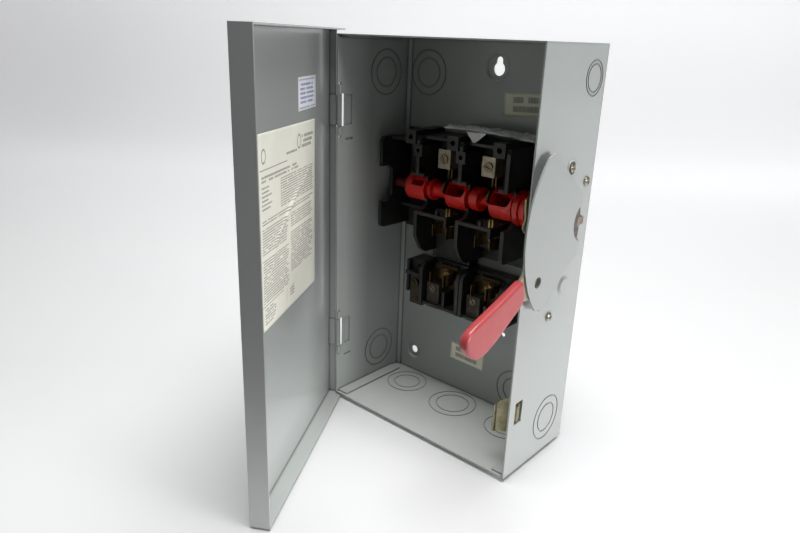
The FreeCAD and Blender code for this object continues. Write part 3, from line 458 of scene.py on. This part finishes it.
def text_mark(m, u, v, left, right, bottom, top, pitch, ink_height, seed, word, fill, ragged):
    """Rows of short dashes that stand for printed lines."""
    letter_width = 0.32
    row_shift = 0.37  # words step sideways from row to row
    row = m.math("FLOOR", m.math("DIVIDE", m.minus(v, bottom), pitch))
    in_row = m.math("FRACT", m.math("DIVIDE", m.minus(v, bottom), pitch))
    from_middle = m.math("ABSOLUTE", m.minus(in_row, 0.5))
    band = m.math("LESS_THAN", from_middle, ink_height / pitch / 2)
    column = m.math("FLOOR", m.plus(m.math("DIVIDE", u, word), m.times(row, row_shift)))
    words = m.math("LESS_THAN", cell_noise(m, column, m.plus(row, seed)), fill)
    # letter-like break-up inside a dash
    letter = m.math("FLOOR", m.math("DIVIDE", u, letter_width))
    letters = m.remap(cell_noise(m, letter, m.plus(row, seed + 91.0)),
                      span=(0.0, 1.0), to=(0.5, 1.0))
    # ragged right end
    ends = m.node("ShaderNodeTexWhiteNoise", noise_dimensions="1D")
    m.set(ends.inputs["W"], m.plus(row, seed + 37.0))
    end = m.minus(right, m.times(ends.outputs["Value"], ragged * (right - left)))
    block = m.times(m.between(u, left, end), m.between(v, bottom, top))
    return m.times(m.times(m.times(band, words), letters), block)


def bar_mark(m, u, v, left, right, bottom, top, strength=1.0):
    return m.times(m.times(m.between(u, left, right), m.between(v, bottom, top)), strength)


def ring_mark(m, u, v, center_u, center_v, radius):
    """A ring drawn a little taller than wide."""
    half_line = 0.6
    du = m.minus(u, center_u)
    dv = m.times(m.minus(v, center_v), 0.8)
    distance = m.math("SQRT", m.plus(m.times(du, du), m.times(dv, dv)))
    off_line = m.math("ABSOLUTE", m.minus(distance, radius - half_line))
    return m.times(m.math("LESS_THAN", off_line, half_line), 0.9)


def border_mark(m, u, v, width, height):
    """A thin frame just inside the edge of the label."""
    outside = m.minus(1.0, bar_mark(m, u, v, 1.3, width - 1.3, 1.2, height - 1.2))
    inside = bar_mark(m, u, v, 0.8, width - 0.8, 0.7, height - 0.7)
    return m.times(m.times(outside, inside), 0.5)


MARKS = {"text": text_mark, "bar": bar_mark, "ring": ring_mark, "border": border_mark}


def paper(name, base, marks, strength, wrinkle, ink=(0.12, 0.12, 0.13)):
    """Printed paper; marks lie on the label in mm, u right and v up."""
    m = Shader(name)
    col = m.mix(m.patches(scale=30.0, detail=4.0, rough=0.6), tint(base, 0.93), base)
    fibres = m.noise(scale=1500.0, rough=0.7)
    col = m.layer(col, over=(0.35, 0.33, 0.28),
                  mask=m.remap(fibres, span=(0.55, 0.75)), strength=0.08)
    u, v = m.xyz(m.node("ShaderNodeUVMap").outputs[0])[:2]
    mask = None
    for kind, *numbers in marks:
        mark = MARKS[kind](m, u, v, *numbers)
        mask = mark if mask is None else m.larger(mask, mark)
    col = m.mix(m.times(mask, strength), col, ink)
    height = m.plus(m.times(fibres, 0.2), m.times(m.noise(scale=55.0), wrinkle))
    return m.finish({
        "Base Color": col,
        "Roughness": m.patches(scale=90.0, to=(0.42, 0.62)),
        "Specular IOR Level": 0.4,
        "Normal": m.bump(height, strength=0.2, distance=0.0003)})


# ------------------------------------------------------------------ mesh building
def smooth_object(name, verts, faces, material):
    mesh = bpy.data.meshes.new(name)
    mesh.from_pydata([tuple(v) for v in verts], [], faces)
    mesh.update()
    for polygon in mesh.polygons:
        polygon.use_smooth = True
    made = bpy.data.objects.new(name, mesh)
    bpy.context.scene.collection.objects.link(made)
    mesh.materials.append(material)
    return made


def double_skin(columns, tiers, point):
    """Two grids of point(i, j, side), closed around the rim; side 0 is the outer one."""
    sides, across, up = (0, 1), range(columns + 1), range(tiers + 1)
    verts = [point(i, j, side) for side in sides for j in up for i in across]

    def at(i, j, side=0):
        return (side * (tiers + 1) + j) * (columns + 1) + i

    faces = []
    for j in range(tiers):
        for i in range(columns):
            faces.append((at(i, j), at(i + 1, j), at(i + 1, j + 1), at(i, j + 1)))
            faces.append((at(i, j + 1, 1), at(i + 1, j + 1, 1), at(i + 1, j, 1), at(i, j, 1)))
    for i in range(columns):
        faces.append((at(i, 0, 1), at(i + 1, 0, 1), at(i + 1, 0), at(i, 0)))
        faces.append((at(i, tiers), at(i + 1, tiers), at(i + 1, tiers, 1), at(i, tiers, 1)))
    for j in range(tiers):
        faces.append((at(0, j), at(0, j + 1), at(0, j + 1, 1), at(0, j, 1)))
        faces.append((at(columns, j, 1), at(columns, j + 1, 1),
                      at(columns, j + 1), at(columns, j)))
    return verts, faces


def sheet(name, columns, tiers, width, height, spot, lift, material, body, replaced):
    """A thin label: spot(u, v, raised) is a point on it, lift(u, v) the height of its face."""
    def point(i, j, side):
        u, v = width * i / columns, height * j / tiers
        return spot(u, v, 0.0 if side else lift(u, v))

    made = smooth_object(name, *double_skin(columns, tiers, point), material)
    layer = made.data.uv_layers.new(name="UVMap")
    for loop in made.data.loops:
        j, i = divmod(loop.vertex_index % ((columns + 1) * (tiers + 1)), columns + 1)
        layer.data[loop.index].uv = (width * i / columns, height * j / tiers)
    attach(made, body)
    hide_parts(replaced)


def ripple(u, v, scale, seed):
    return noise.noise(Vector((u * scale, v * scale, seed)))


# ------------------------------------------------------------------ instruction label
# start, end, width and height of the soft ridges, in mm on the label
CREASES = (
    ((28, 62), (90, 100), 1.5, 1.1),
    ((60, 84), (LABEL_WIDTH - 1, 118), 1.2, 0.9),
    ((14, 40), (44, 72), 2.2, 0.5))


def crease(u, v, start, end, width, height):
    """Height of a soft ridge along a segment, fading out at both ends."""
    du, dv = end[0] - start[0], end[1] - start[1]
    t = ((u - start[0]) * du + (v - start[1]) * dv) / math.hypot(du, dv) ** 2
    if not 0 < t < 1:
        return 0.0
    distance = math.hypot(u - start[0] - t * du, v - start[1] - t * dv)
    fade = min(1.0, t * 6) * min(1.0, (1 - t) * 6)
    return height * fade * math.exp(-(distance / width) ** 2)


def label_spot(u, v, raised):
    # seen from inside, u runs from the free edge of the door towards the hinge
    c, s = math.cos(LABEL_TURN), math.sin(LABEL_TURN)
    du, dv = LABEL_WIDTH / 2 - u, v - LABEL_HEIGHT / 2
    return place_on_door(
        LABEL_X + c * du - s * dv, DOOR_INNER_Y + raised, LABEL_Z + s * du + c * dv)


def label_lift(u, v):
    waves = max(0.0, 0.12 * ripple(u, v, scale=0.05, seed=3.1) + 0.06)
    return 0.25 + waves + sum(crease(u, v, *ridge) for ridge in CREASES)


# text: left, right, bottom, top, pitch, ink height, seed, word width, fill, raggedness
# bar: left, right, bottom, top, strength; ring: centre u, centre v, radius
HEAD = LABEL_HEIGHT
LABEL_MARKS = (
    ("ring", 10.5, HEAD - 17.0, 4.6),
    ("ring", 92.0, HEAD - 15.0, 5.0),
    ("bar", 3.0, 62.0, HEAD - 27.4, HEAD - 26.6, 0.9),
    ("text", 58.0, 88.0, HEAD - 23.0, HEAD - 19.5, 3.5, 1.8, 11.0, 4.0, 0.85, 0.1),
    ("text", 99.0, 130.0, HEAD - 22.0, HEAD - 9.0, 4.2, 2.6, 17.0, 3.6, 0.9, 0.25),
    ("text", 6.0, 90.0, HEAD - 37.0, HEAD - 31.0, 3.0, 1.7, 23.0, 3.0, 0.9, 0.2),
    ("text", 46.0, 131.0, HEAD - 62.0, HEAD - 38.0, 2.0, 0.95, 29.0, 2.0, 0.95, 0.05),
    ("text", 6.0, 28.0, HEAD - 58.0, HEAD - 39.0, 3.2, 1.3, 31.0, 2.4, 0.9, 0.5),
    ("text", 6.0, 131.0, HEAD - 69.0, HEAD - 64.0, 2.2, 1.05, 41.0, 2.3, 0.95, 0.1),
    ("text", 6.0, 64.0, HEAD - 92.0, HEAD - 71.0, 2.1, 1.0, 47.0, 2.2, 0.95, 0.12),
    ("text", 69.0, 130.0, HEAD - 84.0, HEAD - 71.0, 2.1, 1.0, 53.0, 2.2, 0.95, 0.15),
    ("text", 6.0, 64.0, 22.0, HEAD - 95.0, 2.1, 1.0, 61.0, 2.2, 0.95, 0.12),
    ("text", 69.0, 130.0, 30.0, HEAD - 87.0, 2.1, 1.0, 67.0, 2.2, 0.93, 0.2),
    ("bar", 4.0, 50.0, 20.0, 20.6, 0.9),
    ("text", 8.0, 32.0, 4.0, 18.0, 2.4, 1.1, 71.0, 2.6, 0.9, 0.3),
    ("bar", 58.0, 58.5, 6.0, 19.0, 0.8),
    ("text", 66.0, 78.0, 9.0, 18.0, 2.6, 1.4, 79.0, 3.0, 0.9, 0.2))

sheet("instruction_label_sheet", columns=66, tiers=78, width=LABEL_WIDTH, height=LABEL_HEIGHT,
      spot=label_spot, lift=label_lift,
      material=paper("label_cream", base=(0.985, 0.975, 0.86), marks=LABEL_MARKS,
                     strength=0.78, wrinkle=0.6),
      body="door", replaced="instruction_label")


# ------------------------------------------------------------------ inspection sticker
def sticker_spot(u, v, raised):
    return place_on_door(
        STICKER_LEFT + STICKER_WIDTH - u, DOOR_INNER_Y + raised, STICKER_BOTTOM + v)


def sticker_lift(u, v):
    return 0.2 + 0.10 * max(0.0, ripple(u, v, scale=0.12, seed=9.0))


# columns as for the instruction label
STICKER_MARKS = (
    ("text", 2.0, STICKER_WIDTH - 2.0, STICKER_HEIGHT - 3.4, STICKER_HEIGHT - 1.6,
     1.8, 0.9, 3.0, 3.0, 0.9, 0.02),
    ("text", 2.0, STICKER_WIDTH - 2.0, 1.4, 3.2, 1.8, 0.9, 7.0, 3.0, 0.9, 0.02),
    ("text", 5.0, 43.0, 5.0, 24.0, 3.6, 1.9, 13.0, 2.6, 0.88, 0.15))

sheet("inspection_sticker_sheet", columns=24, tiers=15, width=STICKER_WIDTH,
      height=STICKER_HEIGHT, spot=sticker_spot, lift=sticker_lift,
      material=paper("sticker_white", base=(0.93, 0.95, 1.0), marks=STICKER_MARKS,
                     strength=0.85, wrinkle=0.3, ink=(0.10, 0.14, 0.42)),
      body="door", replaced="inspection_sticker")


# ------------------------------------------------------------------ labels inside the back
def back_label(name, replaced, x, z, width, height, turn, seed):
    """A two-line label turned about its lower left corner at x, z."""
    c, s = math.cos(math.radians(turn)), math.sin(math.radians(turn))

    def spot(u, v, raised):
        return place(x + c * u - s * v, BACK_LABEL_Y - raised, z + s * u + c * v)

    def lift(u, v):
        return 0.25 + 0.10 * max(0.0, ripple(u, v, scale=0.10, seed=seed))

    def text(bottom, top, text_seed):
        # bottom and top are shares of the height
        return ("text", width * 0.16, width * 0.84, height * bottom, height * top,
                height * 0.34, height * 0.24, text_seed, 5.2, 0.95, 0.05)

    marks = (text(0.52, 0.86, seed), text(0.14, 0.48, seed + 4), ("border", width, height))
    sheet(name + "_sheet", columns=24, tiers=10, width=width, height=height,
          spot=spot, lift=lift,
          material=paper(name + "_paper", base=(0.93, 0.91, 0.74), marks=marks,
                         strength=0.75, wrinkle=0.3),
          body="enclosure", replaced=replaced)


back_label("line_label_print", "line_label", x=122.9, z=304.4, width=62.0, height=21.7,
           turn=3.0, seed=21.0)
back_label("load_label_print", "load_label", x=79.0, z=36.6, width=44.0, height=19.5,
           turn=-2.0, seed=33.0)


# ------------------------------------------------------------------ film bag of spare screws
def bag_film():
    m = Shader("bag_film")
    haze = m.patches(scale=55.0, detail=4.0, rough=0.6, distortion=0.8)
    wrinkles = m.noise(scale=110.0, detail=4.0, rough=0.6, distortion=1.6)
    return m.finish({
        "Base Color": m.mix(haze, (0.70, 0.74, 0.70), (0.97, 0.98, 0.97)),
        "Roughness": m.patches(scale=120.0, to=(0.10, 0.30)),
        "Specular IOR Level": 0.9,
        "Coat Weight": 0.5,
        "Coat Roughness": 0.06,
        "Alpha": m.patches(scale=70.0, detail=4.0, rough=0.6, distortion=0.8,
                           span=(0.35, 0.7), to=(0.80, 1.0)),
        "Normal": m.bump(wrinkles, strength=0.8, distance=0.0016)})


def parts_bag():
    """A lofted cushion, flat along its sealed rims, creased across."""
    columns, tiers = 120, 40

    def point(i, j, side):
        a, b = i / columns, j / tiers
        x = BAG_LEFT + (BAG_RIGHT - BAG_LEFT) * a + 2.2 * math.sin(b * 5.0 + 1.0) * (a - 0.5)
        y = BAG_FRONT + (BAG_BACK - BAG_FRONT) * b
        y += 1.6 * math.sin(a * 7.0) * (0.5 - abs(b - 0.5)) * 2
        rim = max(0.0, min(a / 0.07, (1 - a) / 0.09, b / 0.14, (1 - b) / 0.14, 1.0))
        fullness = math.sin(rim * math.pi / 2) ** 0.8
        broad = noise.noise(Vector((a * 9.0 + 2.5 * b, b * 3.0, 1.7)))
        fine = noise.noise(Vector((a * 24.0 - 5.0 * b, b * 9.0, 4.2)))
        folds = abs(noise.noise(Vector((a * 14.0 + 8.0 * b, b * 6.0, 7.7))))
        z = BAG_BOTTOM + 3.6 + 1.2 * math.sin(a * 3.0 + 0.5) + 0.8 * math.sin(b * 4.0 + a * 3.0)
        if side == 0:
            z += fullness * (2.3 + 1.5 * broad + 0.9 * fine - 1.6 * folds)
        else:
            z -= 0.12 + fullness * (1.6 + 0.7 * fine)
        return place(min(max(x, BAG_LEFT), BAG_RIGHT), min(max(y, BAG_FRONT), BAG_BACK),
                     min(max(z, BAG_BOTTOM + 0.05 + 0.12 * side), BAG_TOP - 0.1))

    made = smooth_object("parts_bag_film", *double_skin(columns, tiers, point), bag_film())
    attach(made, "enclosure")
    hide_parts("parts_bag")


def slip_paper():
    m = Shader("paper_slip")
    tone = m.patches(scale=160.0, detail=4.0)
    return m.finish({
        "Base Color": m.mix(tone, (0.86, 0.87, 0.88), (0.97, 0.97, 0.96)),
        "Roughness": m.patches(scale=300.0, to=(0.4, 0.6)),
        "Normal": m.bump(m.noise(scale=420.0, detail=4.0), strength=0.35, distance=0.0004)})


def paper_slip():
    """Folded corner of a paper slip, hanging out of the bag over the switch base."""
    n = SLIP_STEPS
    left, right, tip = SLIP_CORNERS
    verts, faces = [], []
    for behind in (0.0, SLIP_THICKNESS):
        for i in range(n + 1):
            for j in range(n + 1 - i):
                u, v = i / n, j / n
                p = left * (1 - u - v) + right * u + tip * v
                wave = 0.9 * math.sin(u * 7.0 + v * 2.0) * (1 - v)
                wave += 0.7 * noise.noise(Vector((u * 4.0, v * 4.0, 2.2)))
                verts.append(place(p.x, p.y - wave + behind, p.z))
    half = len(verts) // 2

    def at(i, j):
        return sum(n + 1 - k for k in range(i)) + j

    def both_sides(a, b, c):
        faces.append((a, b, c))
        faces.append((c + half, b + half, a + half))

    for i in range(n):
        for j in range(n - i):
            both_sides(at(i, j), at(i + 1, j), at(i, j + 1))
            if j < n - i - 1:
                both_sides(at(i + 1, j), at(i + 1, j + 1), at(i, j + 1))
    rim = [at(i, 0) for i in range(n + 1)]
    rim += [at(n - k, k) for k in range(1, n + 1)]
    rim += [at(0, n - k) for k in range(1, n)]
    for here, following in zip(rim, rim[1:] + rim[:1]):
        faces.append((following, here, here + half, following + half))
    made = smooth_object("parts_bag_slip", verts, faces, slip_paper())
    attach(made, "enclosure")


parts_bag()
paper_slip()

# ------------------------------------------------------------------ materials on the CAD nodes
NODE_LOOKS = {
    "back_pan": "enamel_grey_pan", "left_side_panel": "enamel_grey_left",
    "right_side_panel": "enamel_grey_right", "hinge_pins": "plated_steel",
    "door_panel": "enamel_grey_door", "door_hinge_leaves": "enamel_grey_door",
    "switch_base": "phenolic_black", "base_screws": "plated_steel",
    "line_jaws": "brass_tarnished", "line_lugs": "tin_plated_lug",
    "line_lug_screws": "lug_screw_dark", "load_jaws": "brass",
    "upper_fuse_clips": "brass_tarnished", "upper_clip_screws": "plated_steel",
    "left_fuse_block": "phenolic_black_block", "right_fuse_block": "phenolic_black_block",
    "block_screws": "plated_steel", "load_straps": "brass_tarnished",
    "load_lugs": "tin_plated_lug_dull", "load_lug_screws": "lug_screw_dark",
    "lower_fuse_clips": "brass_tarnished", "lower_clip_screws": "brass",
    "neutral_block": "phenolic_black_block", "neutral_lug": "tin_plated_lug_dull",
    "neutral_screws": "brass_tarnished", "rotor": "rotor_red",
    "rotor_blades": "brass_tarnished", "rotor_drive_plate": "yellow_chromate",
    "drive_shaft": "worn_bronze_shaft", "shaft_bushing": "yellow_chromate",
    "mechanism_bracket": "plated_steel", "mechanism_screws": "zinc_screw",
    "toggle_spring": "spring_wire", "handle_plate": "enamel_grey_handle",
    "handle_lever": "lever_khaki", "handle_grip": "grip_red_vinyl",
    "door_latch": "yellow_chromate_latch",
}
for node_name, look in NODE_LOOKS.items():
    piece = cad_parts[node_name]
    if not piece.material_slots:
        piece.data.materials.append(looks[look])
    else:
        for slot in piece.material_slots:
            slot.link = "OBJECT"
            slot.material = looks[look]

# ------------------------------------------------------------------ floor and backdrop
scene = bpy.context.scene


def stage_white():
    """White floor; the backdrop glows more far away and to the right."""
    away, rightward = (-0.657, 0.754, 0.0), (0.754, 0.657, 0.0)
    m = Shader("stage_white")
    white = m.mix(m.patches(scale=1.2, detail=2.0), (0.84, 0.84, 0.85), (0.86, 0.86, 0.87))
    position = m.node("ShaderNodeNewGeometry").outputs["Position"]

    def along(direction, span, to=(0.0, 1.0)):
        return m.remap(m.vector_math("DOT_PRODUCT", position, direction), span, to)

    far = along(away, span=(0.05, 1.25))
    wide = along(rightward, span=(-1.3, 1.3), to=(0.27, 0.50))
    lit = m.node("ShaderNodeSeparateColor")
    m.set(lit.inputs[0], m.mix(far, (0.10, 0.10, 0.10), (1.0, 1.0, 1.0)))
    # the floor in front sends little light back, as if the table ended there
    camera_ray = m.node("ShaderNodeLightPath").outputs["Is Camera Ray"]
    near = along(away, span=(-0.42, -0.30), to=(1.0, 0.0))
    off = m.times(near, m.minus(1.0, camera_ray))
    glow = m.times(m.times(lit.outputs[0], wide), m.minus(1.0, off))
    # seen from the sides or the back, the outer floor fades into the pale room
    outer = m.remap(m.vector_math("LENGTH", position), span=(0.9, 2.3), to=(0.0, 0.68))
    rim = m.times(outer, along(away, span=(0.5, 0.1)))
    return m.finish({
        "Roughness": 0.45,
        "Specular IOR Level": 0.25,
        "Base Color": m.mix(off, white, (0.04, 0.04, 0.04)),
        "Emission Color": (0.985, 0.99, 1.0),
        "Emission Strength": m.plus(glow, m.times(rim, camera_ray))})


def stage_sweep():
    """A floor that curves up into a backdrop, square to the horizontal view direction."""
    profile = [(FLOOR_NEAR, 0.0), (FLOOR_FAR, 0.0)]
    for k in range(1, SWEEP_STEPS + 1):
        a = math.pi / 2 * k / SWEEP_STEPS
        profile.append((FLOOR_FAR + SWEEP_RADIUS * math.sin(a),
                        SWEEP_RADIUS - SWEEP_RADIUS * math.cos(a)))
    profile.append((FLOOR_FAR + SWEEP_RADIUS, BACKDROP_TOP))
    view = Vector((-0.624763, 0.71008883, 0)).normalized()
    side = Vector((view.y, -view.x, 0))
    floor = place(0, 0, FLOOR_Z).z
    verts = []
    for depth, height in profile:
        for across in (-STAGE_HALF_WIDTH, STAGE_HALF_WIDTH):
            p = view * depth + side * across
            verts.append((p.x, p.y, floor + height))
    faces = [(2 * k, 2 * k + 1, 2 * k + 3, 2 * k + 2) for k in range(len(profile) - 1)]
    smooth_object("stage_sweep", verts, faces, stage_white())


stage_sweep()

# ------------------------------------------------------------------ camera
CAMERA_PLACE = (475.847, -445.695, 371.646)  # box mm
# directions of the camera's own axes: x right, y up, z back
CAMERA_AXES = (
    (0.74524679, 0.66584076, 0.03554288),
    (-0.24208865, 0.22052224, 0.94486138),
    (0.62128922, -0.71275944, 0.32553598))

camera = bpy.data.cameras.new("camera")
camera.sensor_width = 36.0
camera.sensor_fit = "HORIZONTAL"
camera.lens = 30.04425
camera.clip_start = 0.05
camera_object = bpy.data.objects.new("camera", camera)
scene.collection.objects.link(camera_object)
pose = Matrix(CAMERA_AXES).transposed().to_4x4()
pose.translation = place(*CAMERA_PLACE)
camera_object.matrix_world = pose
scene.camera = camera_object

# ------------------------------------------------------------------ light
# the room is dark for the object but pale behind it from any side
ROOM_LIGHT = 0.03
ROOM_SEEN_EXTRA = 0.72  # added where the camera sees the room

world = bpy.data.worlds.new("world")
scene.world = world
world.use_nodes = True
background = world.node_tree.nodes["Background"]
background.inputs[0].default_value = (0.93, 0.96, 1.0, 1.0)
light_path = world.node_tree.nodes.new("ShaderNodeLightPath")
room = world.node_tree.nodes.new("ShaderNodeMath")
room.operation = "MULTIPLY_ADD"
world.node_tree.links.new(light_path.outputs["Is Camera Ray"], room.inputs[0])
room.inputs[1].default_value = ROOM_SEEN_EXTRA
room.inputs[2].default_value = ROOM_LIGHT
world.node_tree.links.new(room.outputs[0], background.inputs[1])


def area_light(name, target, offset, width, height, power, color=(1, 1, 1)):
    """A rectangular lamp at target + offset (m), aimed at target and hidden from view."""
    lamp = bpy.data.lights.new(name, "AREA")
    lamp.shape = "RECTANGLE"
    lamp.size, lamp.size_y = width, height
    lamp.energy = power
    lamp.color = color
    made = bpy.data.objects.new(name, lamp)
    scene.collection.objects.link(made)
    location = target + Vector(offset)
    made.location = location
    made.rotation_euler = (target - location).to_track_quat("-Z", "Y").to_euler()
    made.visible_camera = False


middle = place(110, 50, 180)
area_light("key_top", middle, offset=(0.226, -0.110, 1.477), width=0.8, height=0.8,
           power=23.5, color=(1.0, 1.0, 0.99))
area_light("key_front", middle, offset=(0.0, -0.26, 1.477), width=0.7, height=0.7, power=4.0)
area_light("side_right", place(110, 20, 110), offset=(1.45, 0.19, 0.05), width=0.50,
           height=0.55, power=14.5)

scene.view_settings.view_transform = "Standard"
scene.view_settings.look = "None"
scene.view_settings.exposure = 0.0
